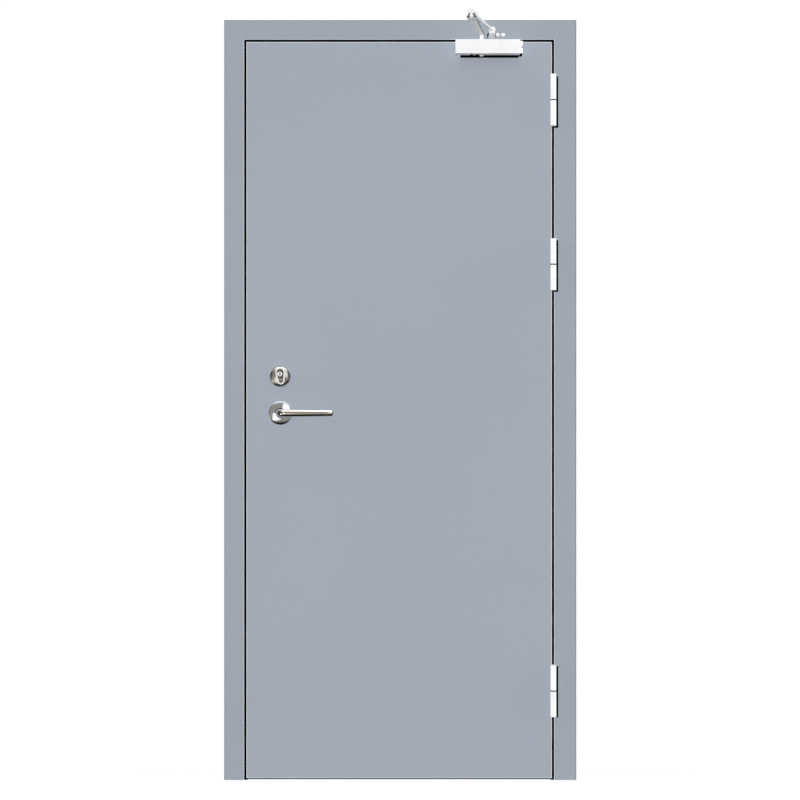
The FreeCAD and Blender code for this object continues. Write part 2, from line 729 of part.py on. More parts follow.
def make_lever(label, base, side):
    """A lever: its neck comes straight out, bends and tapers to its tip."""
    body = new_body(label)
    toward_viewer = side == "-1"
    middle = "Sizes.lever_height"
    half_tall = "(Sizes.lever_tall / 2)"
    half_deep = "(Sizes.lever_deep / 2)"
    root = f"({LEVER_X} + Sizes.lever_bend)"
    tip = f"({LEVER_X} + Sizes.lever_reach)"
    grip = f"({base} + {side} * Sizes.lever_standoff)"
    turn = f"({base} + {side} * (Sizes.lever_standoff - Sizes.lever_bend))"

    bar = new_sketch(body, "XZ_Plane", f"-({grip} + {half_deep})")
    draw_grip(bar, root, tip, middle, half_tall, "Sizes.lever_tip")
    solid = pad(bar, "Sizes.lever_deep")
    root_x = number_of(bar, root)
    names = []
    for number, edge in enumerate(solid.Shape.Edges, start=1):
        box = edge.BoundBox
        if box.YLength < TOUCH and box.XMax > root_x + TOUCH:
            names.append(f"Edge{number}")
    bevel = body.newObject("PartDesign::Chamfer", f"{label}_bevel")
    bevel.Base = (solid, names)
    bevel.setExpression("Size", "Sizes.lever_edge")
    doc.recompute()

    elbow = new_sketch(body, "XZ_Plane", f"-{turn}")
    across = (f"({LEVER_X} - {half_deep})", f"({LEVER_X} + {half_deep})")
    along = (f"({middle} - {half_tall})", f"({middle} + {half_tall})")
    draw_outline(elbow, bevelled_corners(across, along, "Sizes.lever_edge"))
    draw_axis(elbow, root, along[0], along[1])
    bend = body.newObject("PartDesign::Revolution", f"{label}_bend")
    bend.Profile = elbow
    bend.ReferenceAxis = (elbow, ["Axis0"])
    bend.Angle = 90
    bend.Reversed = not toward_viewer
    doc.recompute()

    start = f"({base} + {side} * Sizes.neck_start)"
    low, high = (turn, start) if toward_viewer else (start, turn)
    neck = new_sketch(body, "XZ_Plane", f"-{high}")
    draw_circle(neck, LEVER_X, middle, "Sizes.neck_radius")
    pad(neck, f"{high} - {low}")
    return body


def make_spindle():
    """The square bar that joins both levers through the leaf."""
    half = "Sizes.spindle_width / 2"
    return block(
        "lever_spindle",
        (f"({LEVER_X} - {half})", f"({LEVER_X} + {half})"),
        (f"({FRAME_FRONT} - Sizes.neck_start)", f"({LEAF_BACK} + Sizes.neck_start)"),
        (f"(Sizes.lever_height - {half})", f"(Sizes.lever_height + {half})"),
    )


def make_cylinder(place, base, side):
    """One side of the lock cylinder: round guard, raised key case and key plug."""
    toward_viewer = side == "-1"
    plug_z = f"({CYLINDER_Z} + Sizes.plug_rise)"
    guard = turned(f"{place}_cylinder_guard", LEVER_X, CYLINDER_Z, base, side, [
        ("0", "0"),
        ("Sizes.guard_radius", "0"),
        ("Sizes.guard_radius", "Sizes.guard_thick"),
        ("0", "Sizes.guard_thick"),
    ])
    face = f"({base} + {side} * Sizes.guard_thick)"
    top = f"({face} + {side} * Sizes.case_thick)"
    plug_top = f"({top} + {side} * Sizes.plug_proud)"
    low, high = (top, face) if toward_viewer else (face, top)
    case = new_body(f"{place}_key_case")
    outline = new_sketch(case, "XZ_Plane", f"-{high}")
    draw_belt(
        outline,
        (f"({LEVER_X} + Sizes.case_shift)", f"({CYLINDER_Z} + Sizes.case_rise)"),
        "Sizes.case_head",
        (f"({LEVER_X} + Sizes.case_shift + Sizes.case_lean)", f"({CYLINDER_Z} - Sizes.case_fall)"),
        "Sizes.case_foot",
    )
    pad(outline, f"{high} - {low}")
    bore = new_sketch(case, "XZ_Plane", f"-{high}")
    draw_circle(bore, LEVER_X, plug_z, "Sizes.plug_radius")
    pocket(bore, f"{high} - {low}")
    low, high = (plug_top, face) if toward_viewer else (face, plug_top)
    plug = new_body(f"{place}_key_plug")
    round_end = new_sketch(plug, "XZ_Plane", f"-{high}")
    draw_circle(round_end, LEVER_X, plug_z, "Sizes.plug_radius")
    pad(round_end, f"{high} - {low}")
    return guard, case, plug


def make_closer():
    """The closer on the leaf: its body, the cover round it and the end cap."""
    right = f"({AXIS_X} - Sizes.closer_setback)"
    left = f"({right} - Sizes.closer_length)"
    sheet = "Sizes.cover_sheet"
    front = f"({FRAME_FRONT} - Sizes.closer_deep)"
    body = block(
        "closer_body",
        (f"({left} + Sizes.body_inset)", right),
        (f"({front} + {sheet})", FRAME_FRONT),
        (f"({CLOSER_BOTTOM} + {sheet})", f"({CLOSER_TOP} - {sheet})"),
    )
    bore = new_sketch(body, "XY_Plane", CLOSER_BOTTOM)
    draw_circle(bore, PINION_X, PINION_Y, "(Sizes.pinion_radius + Sizes.hinge_play)")
    pocket(bore, "Sizes.closer_tall")

    cover = new_body("closer_cover")
    fold = new_sketch(cover, "YZ_Plane", left)
    lip = f"({front} + Sizes.cover_lip)"
    draw_outline(fold, [
        (front, CLOSER_BOTTOM),
        (lip, CLOSER_BOTTOM),
        (lip, f"({CLOSER_BOTTOM} + {sheet})"),
        (f"({front} + {sheet})", f"({CLOSER_BOTTOM} + {sheet})"),
        (f"({front} + {sheet})", f"({CLOSER_TOP} - {sheet})"),
        (lip, f"({CLOSER_TOP} - {sheet})"),
        (lip, CLOSER_TOP),
        (front, CLOSER_TOP),
    ])
    pad(fold, "Sizes.closer_length")

    cap = block(
        "closer_end_cap",
        (right, f"({right} + Sizes.cap_thick)"),
        (f"({FRAME_FRONT} - Sizes.cap_far)", f"({FRAME_FRONT} - Sizes.cap_near)"),
        (f"({CLOSER_BOTTOM} + Sizes.cap_inset)", f"({CLOSER_TOP} - Sizes.cap_inset)"),
    )
    middle = f"({CLOSER_TOP} - Sizes.closer_tall / 2)"
    cut_block(
        cap,
        (f"({right} + Sizes.cap_thick / 2)", f"({right} + Sizes.cap_thick + Sizes.cut_margin)"),
        (f"({FRAME_FRONT} - Sizes.cap_far)", f"({FRAME_FRONT} - Sizes.cap_near)"),
        (f"({middle} - Sizes.cap_groove / 2)", f"({middle} + Sizes.cap_groove / 2)"),
    )


def place_along(body, base_x, base_y, end_x, end_y):
    """Stand a piece at its pivot and turn its own X axis towards its far end."""
    body.Placement = FreeCAD.Placement(
        FreeCAD.Vector(0, 0, 0),
        FreeCAD.Rotation(FreeCAD.Vector(0, 0, 1), 1),
    )
    body.setExpression("Placement.Base.x", base_x)
    body.setExpression("Placement.Base.y", base_y)
    turn = f"atan2({end_y} - {base_y}; {end_x} - {base_x})"
    body.setExpression("Placement.Rotation.Angle", turn)


def disc(body, along, radius, low, high):
    """A round boss of the piece, upright about a point on its X axis."""
    sketch = new_sketch(body, "XY_Plane", low)
    draw_circle(sketch, along, "0", radius)
    pad(sketch, f"{high} - {low}")


def hole(body, along, radius, low, high):
    """An upright hole about a point on the piece's X axis."""
    sketch = new_sketch(body, "XY_Plane", low)
    draw_circle(sketch, along, "0", radius)
    pocket(sketch, f"{high} - {low}")


def rod(label, start, end, radius, middle):
    """A round bar along the piece's X axis."""
    body = new_body(label)
    sketch = new_sketch(body, "YZ_Plane", start)
    draw_circle(sketch, "0", middle, radius)
    pad(sketch, f"{end} - {start}")
    return body


def make_arms():
    """The closer's pinion and main arm, and the forearm back to the shoe."""
    pinion = new_body("closer_pinion")
    sketch = new_sketch(pinion, "XY_Plane", f"({CLOSER_BOTTOM} - Sizes.pinion_tail)")
    draw_circle(sketch, PINION_X, PINION_Y, "Sizes.pinion_radius")
    pad(sketch, f"{ARM_BOTTOM} - {CLOSER_BOTTOM} + Sizes.pinion_tail")

    arm_length = f"hypot({ELBOW_X} - {PINION_X}; {ELBOW_Y} - {PINION_Y})"
    arm = new_body("closer_main_arm")
    plate = new_sketch(arm, "XY_Plane", ARM_BOTTOM)
    draw_belt(plate, ("0", "0"), "Sizes.arm_hub", (arm_length, "0"), "Sizes.arm_end")
    pad(plate, "Sizes.arm_thick")
    disc(arm, "0", "Sizes.pinion_radius", ARM_TOP, f"({ARM_TOP} + Sizes.hub_rise)")
    boss_top = f"({EYE_BOTTOM} - Sizes.pivot_play)"
    disc(arm, arm_length, "Sizes.elbow_boss", ARM_TOP, boss_top)
    place_along(arm, PINION_X, PINION_Y, ELBOW_X, ELBOW_Y)

    reach = f"hypot({ELBOW_X} - {SHOE_X}; {ELBOW_Y} - {SHOE_Y})"
    level = f"({EYE_BOTTOM} + Sizes.eye_thick / 2)"
    forearm = rod("forearm_rod", "Sizes.rod_start", "Sizes.rod_end", "Sizes.rod_radius", level)
    disc(forearm, "0", "Sizes.eye_radius", EYE_BOTTOM, EYE_TOP)
    hole(forearm, "0", "(Sizes.shoe_pin + Sizes.hinge_play)", EYE_BOTTOM, EYE_TOP)
    place_along(forearm, SHOE_X, SHOE_Y, ELBOW_X, ELBOW_Y)

    tongue = f"({reach} - Sizes.sleeve_stop)"
    sleeve = rod("forearm_sleeve", "Sizes.sleeve_start", tongue, "Sizes.sleeve_radius", level)
    flat = new_sketch(sleeve, "XY_Plane", EYE_BOTTOM)
    half = "Sizes.tongue_width / 2"
    draw_outline(flat, box_corners(f"({tongue} - {half})", reach, f"-{half}", half))
    pad(flat, "Sizes.eye_thick")
    disc(sleeve, reach, "Sizes.eye_radius", EYE_BOTTOM, EYE_TOP)
    bore = new_sketch(sleeve, "YZ_Plane", "Sizes.sleeve_start")
    draw_circle(bore, "0", level, "Sizes.rod_radius")
    pocket(bore, "Sizes.rod_end - Sizes.sleeve_start")
    disc(sleeve, reach, "Sizes.pin_head", EYE_TOP, f"({EYE_TOP} + Sizes.head_rise)")
    place_along(sleeve, SHOE_X, SHOE_Y, ELBOW_X, ELBOW_Y)


def make_shoe():
    """The shoe on the frame's head: a plate with its bracket, and the forearm's pin."""
    low = f"({HEAD_REBATE} + Sizes.shoe_rise)"
    bracket_top = f"({EYE_BOTTOM} - Sizes.pivot_play)"
    left = f"({SHOE_X} - Sizes.bracket_foot / 2)"
    plate_front = f"({FRAME_FRONT} - Sizes.shoe_plate)"
    shoe = block(
        "closer_shoe",
        (left, f"({left} + Sizes.shoe_length)"),
        (plate_front, FRAME_FRONT),
        (low, f"({low} + Sizes.shoe_tall)"),
    )
    tip = f"({SHOE_Y} - Sizes.bracket_tip / 2)"
    plan = new_sketch(shoe, "XY_Plane", low)
    draw_outline(plan, [
        (left, plate_front),
        (f"({SHOE_X} - Sizes.bracket_tip / 2)", tip),
        (f"({SHOE_X} + Sizes.bracket_tip / 2)", tip),
        (f"({SHOE_X} + Sizes.bracket_foot / 2)", plate_front),
    ])
    pad(plan, f"{bracket_top} - {low}")
    slope = new_sketch(shoe, "YZ_Plane", left)
    beyond = f"({tip} - Sizes.cut_margin)"
    draw_outline(slope, [
        (plate_front, low),
        (beyond, low),
        (beyond, f"({low} + Sizes.bracket_slope)"),
        (tip, f"({low} + Sizes.bracket_slope)"),
    ])
    pocket(slope, "Sizes.bracket_foot")
    pin = new_body("shoe_pin")
    shank = new_sketch(pin, "XY_Plane", bracket_top)
    draw_circle(shank, SHOE_X, SHOE_Y, "Sizes.shoe_pin")
    pad(shank, f"{EYE_TOP} - {bracket_top} + Sizes.head_rise")
    head = new_sketch(pin, "XY_Plane", f"({EYE_TOP} + Sizes.pivot_play)")
    draw_circle(head, SHOE_X, SHOE_Y, "Sizes.pin_head")
    pad(head, "Sizes.head_rise")


def write_pieces():
    """Check every object and every piece, then write the pieces."""
    for item in doc.Objects:
        if {"Invalid", "Error"} & set(item.State):
            raise RuntimeError(f"{item.Name} failed: {item.State}")
    for piece in pieces:
        if piece.Shape.isNull() or not piece.Shape.isValid():
            raise RuntimeError(f"{piece.Label} has no sound shape")
        if len(piece.Shape.Solids) != 1:
            raise RuntimeError(f"{piece.Label} is {len(piece.Shape.Solids)} solids")
    os.makedirs("parts", exist_ok=True)
    for piece in pieces:
        piece.Shape.exportStep(f"parts/{piece.Label}.step")
    print(len(pieces), "pieces written")


make_sheet()
make_frame()
make_strike()
make_seals()
make_leaf()
make_hinges()
make_rose("outer_rose", FRAME_FRONT, "-1")
make_rose("inner_rose", LEAF_BACK, "1")
make_lever("outer_lever", FRAME_FRONT, "-1")
make_lever("inner_lever", LEAF_BACK, "1")
make_spindle()
make_cylinder("outer", FRAME_FRONT, "-1")
make_cylinder("inner", LEAF_BACK, "1")
make_closer()
make_arms()
make_shoe()
doc.recompute()
write_pieces()
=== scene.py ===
import json
import math

import bmesh
import bpy
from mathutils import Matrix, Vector

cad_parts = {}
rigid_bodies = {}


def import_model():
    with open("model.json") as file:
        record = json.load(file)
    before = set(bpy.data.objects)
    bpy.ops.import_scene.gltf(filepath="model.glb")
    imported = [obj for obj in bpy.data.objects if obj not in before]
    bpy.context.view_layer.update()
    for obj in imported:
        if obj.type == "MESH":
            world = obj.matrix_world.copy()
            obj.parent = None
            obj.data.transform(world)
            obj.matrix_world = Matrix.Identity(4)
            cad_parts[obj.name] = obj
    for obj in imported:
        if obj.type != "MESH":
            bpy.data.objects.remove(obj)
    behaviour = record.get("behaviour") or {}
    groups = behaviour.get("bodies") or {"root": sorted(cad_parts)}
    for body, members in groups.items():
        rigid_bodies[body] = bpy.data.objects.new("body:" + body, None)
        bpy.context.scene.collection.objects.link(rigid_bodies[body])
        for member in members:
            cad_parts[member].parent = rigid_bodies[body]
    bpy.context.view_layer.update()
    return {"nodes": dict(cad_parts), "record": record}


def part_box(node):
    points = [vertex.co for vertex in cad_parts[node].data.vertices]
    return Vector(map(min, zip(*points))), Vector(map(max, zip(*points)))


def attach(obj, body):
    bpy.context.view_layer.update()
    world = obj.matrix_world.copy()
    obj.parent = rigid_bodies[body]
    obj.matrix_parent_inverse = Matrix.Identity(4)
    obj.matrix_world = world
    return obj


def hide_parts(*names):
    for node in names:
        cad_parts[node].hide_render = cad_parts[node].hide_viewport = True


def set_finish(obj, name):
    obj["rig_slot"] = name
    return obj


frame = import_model()

# Metres throughout, in the CAD frame: X to the hinge side, Y away from the viewer, Z up
MM = 0.001
X, Y, Z = 0, 1, 2
UP, DOWN = (0, 0, 1), (0, 0, -1)
GAP = 6 * MM  # between the leaf and the frame
NEAR = 0.1 * MM  # points closer than this count as level with each other
PLACES = ("top", "middle", "bottom")
RECORD = frame["record"]
SLOT_OF = {part["node"]: part["material_slot"] for part in RECORD["subparts"]}
BODY_OF = {
    node: body
    for body, nodes in RECORD["behaviour"]["bodies"].items()
    for node in nodes
}
FACE_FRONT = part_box("leaf_front_skin")[0].y
FACE_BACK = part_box("leaf_back_skin")[1].y

# Materials

# How noise is drawn out along an axis, as the grain of worked metal
GRAIN_X, GRAIN_Y, GRAIN_Z, NO_GRAIN = (1, 60, 60), (60, 1, 60), (60, 60, 1), (1, 1, 1)
# The places of a Mix node's colour sockets
MIX_FIRST, MIX_SECOND, MIX_RESULT = 6, 7, 2


def map_range(tree, value, start, end, low, high):
    """Map a value between start and end to a number between low and high."""
    node = tree.nodes.new("ShaderNodeMapRange")
    node.inputs["From Min"].default_value = start
    node.inputs["From Max"].default_value = end
    node.inputs["To Min"].default_value = low
    node.inputs["To Max"].default_value = high
    tree.links.new(value, node.inputs["Value"])
    return node.outputs["Result"]


class Surface:
    """A procedural material. Its textures run in the piece's own metres."""

    def __init__(self, name, roughness, metallic=0.0):
        self.material = bpy.data.materials.new(name)
        self.material.use_nodes = True
        self.tree = self.material.node_tree
        self.shader = self.tree.nodes["Principled BSDF"]
        self.shader.inputs["Metallic"].default_value = metallic
        self.shader.inputs["Roughness"].default_value = roughness
        self.place = self.tree.nodes.new("ShaderNodeTexCoord").outputs["Object"]

    def join(self, start, end):
        self.tree.links.new(start, end)

    def noise(self, scale, detail=2.0, stretch=NO_GRAIN):
        """Noise with so many cells to the metre, drawn out along an axis."""
        mapping = self.tree.nodes.new("ShaderNodeMapping")
        mapping.inputs["Scale"].default_value = stretch
        texture = self.tree.nodes.new("ShaderNodeTexNoise")
        texture.inputs["Scale"].default_value = scale
        texture.inputs["Detail"].default_value = detail
        self.join(self.place, mapping.inputs["Vector"])
        self.join(mapping.outputs["Vector"], texture.inputs["Vector"])
        return texture.outputs["Fac"]

    def ramp(self, factor, low, high, start=0.35, end=0.65):
        """Blend between two colours as the factor rises."""
        node = self.tree.nodes.new("ShaderNodeValToRGB")
        node.color_ramp.elements[0].position = start
        node.color_ramp.elements[0].color = (*low, 1)
        node.color_ramp.elements[1].position = end
        node.color_ramp.elements[1].color = (*high, 1)
        self.join(factor, node.inputs["Fac"])
        return node.outputs["Color"]

    def span(self, factor, low, high, start=0.35, end=0.65):
        """Map the factor to a plain number between two limits."""
        return map_range(self.tree, factor, start, end, low, high)

    def multiply(self, first, second):
        """The product of two colours."""
        node = self.tree.nodes.new("ShaderNodeMix")
        node.data_type = "RGBA"
        node.blend_type = "MULTIPLY"
        node.inputs["Factor"].default_value = 1.0
        self.join(first, node.inputs[MIX_FIRST])
        self.join(second, node.inputs[MIX_SECOND])
        return node.outputs[MIX_RESULT]

    def bump(self, height, strength, distance):
        """Raise the surface by the height."""
        node = self.tree.nodes.new("ShaderNodeBump")
        node.inputs["Strength"].default_value = strength
        node.inputs["Distance"].default_value = distance
        self.join(height, node.inputs["Height"])
        return node.outputs["Normal"]

    def set(self, **sockets):
        """Feed the shader's inputs."""
        names = {"colour": "Base Color", "roughness": "Roughness", "normal": "Normal"}
        for key, value in sockets.items():
            self.join(value, self.shader.inputs[names[key]])
        return self.material


def shade(colour, factor):
    return tuple(channel * factor for channel in colour)


def powder_coat(name, colour):
    """Satin powder coat: faint clouding, fine speckle and orange peel."""
    paint = Surface(name, 0.42)
    paint.shader.inputs["Specular IOR Level"].default_value = 0.35
    clouds = paint.noise(scale=1.4, detail=3)
    speckle = paint.noise(scale=1500, detail=1)
    peel = paint.noise(scale=420, detail=2)
    return paint.set(
        colour=paint.multiply(
            paint.ramp(clouds, shade(colour, 0.975), shade(colour, 1.02), 0.25, 0.75),
            paint.ramp(speckle, (0.94, 0.94, 0.94), (1, 1, 1)),
        ),
        roughness=paint.span(paint.noise(scale=9, detail=4), 0.38, 0.47),
        normal=paint.bump(peel, strength=0.16, distance=0.25 * MM),
    )


def worked_metal(name, colour, roughness, along=GRAIN_X, grain=0.05, tone=0.9, metallic=1.0):
    """Metal with fine lines drawn along one axis and a soft change of tone."""
    metal = Surface(name, roughness, metallic)
    lines = metal.noise(scale=60, detail=3, stretch=along)
    soft = metal.noise(scale=35, detail=2)
    return metal.set(
        colour=metal.multiply(
            metal.ramp(lines, shade(colour, tone), colour, 0.3, 0.7),
            metal.ramp(soft, (0.95, 0.95, 0.95), (1, 1, 1), 0.3, 0.7),
        ),
        roughness=metal.span(soft, roughness * 0.85, roughness * 1.2, 0.3, 0.7),
        normal=metal.bump(lines, strength=grain, distance=0.1 * MM),
    )


def moulded(name, colour, roughness, grain_scale, strength, gloss=0.5):
    """Matt rubber, board or plastic with an even fine grain."""
    stuff = Surface(name, roughness)
    stuff.shader.inputs["Specular IOR Level"].default_value = gloss
    grain = stuff.noise(grain_scale, detail=3)
    return stuff.set(
        colour=stuff.ramp(grain, shade(colour, 0.8), shade(colour, 1.15), 0.3, 0.7),
        roughness=stuff.span(grain, roughness * 0.9, min(1.0, roughness * 1.1)),
        normal=stuff.bump(grain, strength, distance=0.3 * MM),
    )


MATERIALS = {
    "frame_paint": powder_coat("frame_paint", (0.323, 0.358, 0.408)),
    "leaf_paint": powder_coat("leaf_paint", (0.346, 0.379, 0.436)),
    "core_fill": moulded("core_fill", (0.72, 0.68, 0.58), 0.8, 400, 0.3),
    "seal_rubber": moulded("seal_rubber", (0.015, 0.015, 0.017), 0.7, 900, 0.2, gloss=0.2),
    "hinge_steel": worked_metal(
        "hinge_steel", (0.9, 0.9, 0.895), 0.34, GRAIN_Z, grain=0.02, tone=0.985, metallic=0.0
    ),
    "satin_steel": worked_metal("satin_steel", (0.92, 0.9, 0.86), 0.1, tone=0.96),
    "key_brass": worked_metal(
        "key_brass", (0.92, 0.92, 0.9), 0.2, GRAIN_Y, tone=0.97, metallic=0.3
    ),
    "closer_silver": worked_metal(
        "closer_silver", (0.885, 0.885, 0.885), 0.34, grain=0.02, tone=0.985, metallic=0.0
    ),
    "arm_steel": worked_metal(
        "arm_steel", (0.84, 0.84, 0.84), 0.3, NO_GRAIN, grain=0.02, tone=0.96, metallic=0.1
    ),
}
# Painted highlights along the front folds at the gap round the leaf
FOLD_HIGHLIGHT_PAINT = {
    "frame": powder_coat("frame_fold_highlight", (0.62, 0.65, 0.69)),
    "leaf": powder_coat("leaf_fold_highlight", (0.78, 0.81, 0.87)),
}
# Painted shade along the frame's outer front edges
FOLD_SHADE_PAINT = powder_coat("outer_fold_shade", (0.2, 0.215, 0.24))
# Black for small dark parts, and painted shade on the closer's undersides and the hinge pins
BLACK_PART_AND_SHADE = moulded("black_part_and_shade", (0.002, 0.002, 0.0025), 0.9, 500, 0.3, gloss=0.0)
CASE_NICKEL = worked_metal(
    "case_nickel", (0.95, 0.945, 0.93), 0.16, GRAIN_Z, tone=0.97, metallic=0.35
)
# Painted shade for the side faces of the arm and the shoe bracket
SHADED_FLANK = worked_metal("shaded_flank", (0.07, 0.072, 0.078), 0.5, metallic=0.0)
SHADED_POCKET_STEEL = worked_metal(
    "shaded_pocket_steel", (0.22, 0.21, 0.2), 0.25, GRAIN_Z, tone=0.8, metallic=0.6
)
ROSE_STEEL = worked_metal("rose_steel", (0.88, 0.92, 0.98), 0.1, tone=0.96)
# Painted reflection: the guard's steel is darker than the rest, for the dim surroundings it mirrors
DIM_GUARD_STEEL = worked_metal("dim_guard_steel", (0.66, 0.645, 0.62), 0.2, GRAIN_Z, tone=0.85)
FOOT_SHADE_RUBBER = moulded("foot_shade_rubber", (0.03, 0.03, 0.028), 0.8, 700, 0.2, gloss=0.05)
# Black that stands for shade in gaps, notches, the case's well and the key slot
SHADE_BLACK = moulded("shade_black", (0.001, 0.001, 0.002), 0.9, 700, 0.2, gloss=0.0)

# Pieces and shapes


def piece(name, mesh, material, body, slot, stands_for=()):
    """Put a mesh in the scene as one named piece that rides on a body."""
    made = bpy.data.objects.new(name, mesh)
    bpy.context.scene.collection.objects.link(made)
    mesh.materials.clear()
    mesh.materials.append(material)
    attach(made, body)
    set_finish(made, slot)
    if stands_for:
        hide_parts(*stands_for)
    return made


def smooth(bm, limit=35):
    """Shade smoothly, but keep edges steeper than the limit sharp."""
    bmesh.ops.recalc_face_normals(bm, faces=bm.faces)
    for face in bm.faces:
        face.smooth = True
    for edge in bm.edges:
        edge.smooth = len(edge.link_faces) == 2 and edge.calc_face_angle(0) < math.radians(limit)


def to_mesh(bm, name):
    smooth(bm)
    mesh = bpy.data.meshes.new(name)
    bm.to_mesh(mesh)
    bm.free()
    return mesh


def soften(made, width, steps=2, limit=30):
    """Round the piece's sharp edges, as folding, casting or filing leaves them."""
    bevel = made.modifiers.new("rounding", "BEVEL")
    bevel.width = width
    bevel.segments = steps
    bevel.limit_method = "ANGLE"
    bevel.angle_limit = math.radians(limit)
    bevel.harden_normals = True
    even = made.modifiers.new("even_normals", "WEIGHTED_NORMAL")
    even.keep_sharp = True
    return made


def tidy(bm):
    """Merge split points and give each flat side one face."""
    bmesh.ops.remove_doubles(bm, verts=bm.verts, dist=0.005 * MM)
    bmesh.ops.dissolve_limit(bm, angle_limit=math.radians(0.4), verts=bm.verts, edges=bm.edges)


def solid_of(node, name):
    """A copy of a CAD piece's mesh, with whole faces and shared points."""
    bm = bmesh.new()
    bm.from_mesh(frame["nodes"][node].data)
    tidy(bm)
    return to_mesh(bm, name)


def rounded(node, width, steps=2):
    """A CAD piece with its edges rounded, which stands for the plain solid."""
    name, slot = f"{node}_dressed", SLOT_OF[node]
    made = piece(name, solid_of(node, name), MATERIALS[slot], BODY_OF[node], slot, (node,))
    return soften(made, width, steps)


def second_tone(made, material, chosen):
    """Give the faces of a piece whose direction is chosen a second material."""
    made.data.materials.append(material)
    last = len(made.data.materials) - 1
    for face in made.data.polygons:
        if chosen(face.normal):
            face.material_index = last


def middle_of(node):
    low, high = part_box(node)
    return (low + high) / 2


def in_mm(profile):
    """Points written in millimetres, as metres."""
    return [(first * MM, second * MM) for first, second in profile]


def square_to(axis):
    """Two directions square to an axis and to each other."""
    level = Vector((1, 0, 0)) if abs(axis.x) < 0.9 else Vector((0, 1, 0))
    level = (level - axis * level.dot(axis)).normalized()
    return level, axis.cross(level)


def box_outline(left, right, low, high):
    return [(left, low), (right, low), (right, high), (left, high)]


def arc(centre, radius, start, end, steps):
    """Points of an arc in a profile, angles in degrees."""
    angles = [math.radians(start + (end - start) * step / steps) for step in range(steps + 1)]
    return [
        (centre[0] + radius * math.cos(angle), centre[1] + radius * math.sin(angle))
        for angle in angles
    ]


def lathe(name, centre, axis, profile, steps=64, squash=1.0):
    """Turn a profile of (radius, height) about an axis through the centre."""
    axis = Vector(axis).normalized()
    level, upright = square_to(axis)
    bm = bmesh.new()
    rings = []
    for radius, height in profile:
        middle = Vector(centre) + axis * height
        if radius == 0:
            rings.append([bm.verts.new(middle)])
            continue
        ring = []
        for step in range(steps):
            angle = 2 * math.pi * step / steps
            around = level * math.cos(angle) + upright * (squash * math.sin(angle))
            ring.append(bm.verts.new(middle + around * radius))
        rings.append(ring)
    for low, high in zip(rings, rings[1:]):
        for step in range(steps):
            after = (step + 1) % steps
            corners = [low[step % len(low)], low[after % len(low)],
                       high[after % len(high)], high[step % len(high)]]
            bm.faces.new(list(dict.fromkeys(corners)))
    return to_mesh(bm, name)


def loft(name, rings):
    """A closed skin over rings of equal count, capped at both ends."""
    bm = bmesh.new()
    rows = [[bm.verts.new(point) for point in ring] for ring in rings]
    for low, high in zip(rows, rows[1:]):
        for step in range(len(low)):
            after = (step + 1) % len(low)
            bm.faces.new((low[step], low[after], high[after], high[step]))
    bm.faces.new(rows[0])
    bm.faces.new(rows[-1])
    return to_mesh(bm, name)


def prism(name, outline, low, high):
    """A plain solid over an outline of (x, z) points between two depths."""
    return loft(name, [[(x, level, z) for x, z in outline] for level in (low, high)])


def shape(made, tool_mesh, operation="DIFFERENCE"):
    """Cut a second shape out of a piece, or weld it on, for good."""
    tool = bpy.data.objects.new("tool", tool_mesh)
    bpy.context.scene.collection.objects.link(tool)
    boolean = made.modifiers.new("shaping", "BOOLEAN")
    boolean.operation = operation
    boolean.solver = "EXACT"
    boolean.object = tool
    bpy.context.view_layer.update()
    graph = bpy.context.evaluated_depsgraph_get()
    changed = bpy.data.meshes.new_from_object(made.evaluated_get(graph))
    made.modifiers.remove(boolean)
    made.data = changed
    bpy.data.objects.remove(tool)


def paint_light_and_shade_on_folds(mesh, chosen, width, material):
    """Round the chosen steep edges of a mesh, and paint the given highlight or shade colour onto the
    rounding.
    """
    bm = bmesh.new()
    bm.from_mesh(mesh)
    edges = [
        edge for edge in bm.edges
        if edge.calc_face_angle(0) > math.radians(60) and chosen(*(vert.co for vert in edge.verts))
    ]
    index = len(mesh.materials)
    mesh.materials.append(material)
    bmesh.ops.bevel(
        bm, geom=edges, offset=width, segments=4, profile=0.5, affect="EDGES", material=index
    )
    smooth(bm, 50)
    bm.to_mesh(mesh)
    bm.free()


def screw(name, centre, axis, radius, rise, body, slot, squash=1.0):
    """A domed screw head with a cross recess."""
    edge = 0.25 * rise
    dome = [
        (radius * math.cos(math.radians(angle)), edge + 0.75 * rise * math.sin(math.radians(angle)))
        for angle in (15, 30, 45, 60, 75)
    ]
    profile = [(0, 0), (radius, 0), (radius, edge), *dome, (0, rise)]
    made = piece(name, lathe(name, centre, axis, profile, 40, squash), MATERIALS[slot], body, slot)
    out = Vector(axis).normalized()
    level, upright = square_to(out)
    reach, half = 0.5 * radius * squash, 0.1 * radius
    for one, two in ((level, upright), (upright, level)):
        rings = [
            [
                Vector(centre) + out * height + one * (a * reach) + two * (b * half)
                for a, b in box_outline(-1, 1, -1, 1)
            ]
            for height in (0.45 * rise, 1.5 * rise)
        ]
        shape(made, loft("recess", rings))
    return made


# Frame and leaf

# Only the skins' folds longer than this get the painted highlight
LONG_FOLD = 0.3  # shorter folds of the skins keep the paint's own tone


def level_at(one, two, axis, value):
    """Whether both ends of an edge have the value on an axis."""
    return abs(one[axis] - value) < NEAR and abs(two[axis] - value) < NEAR


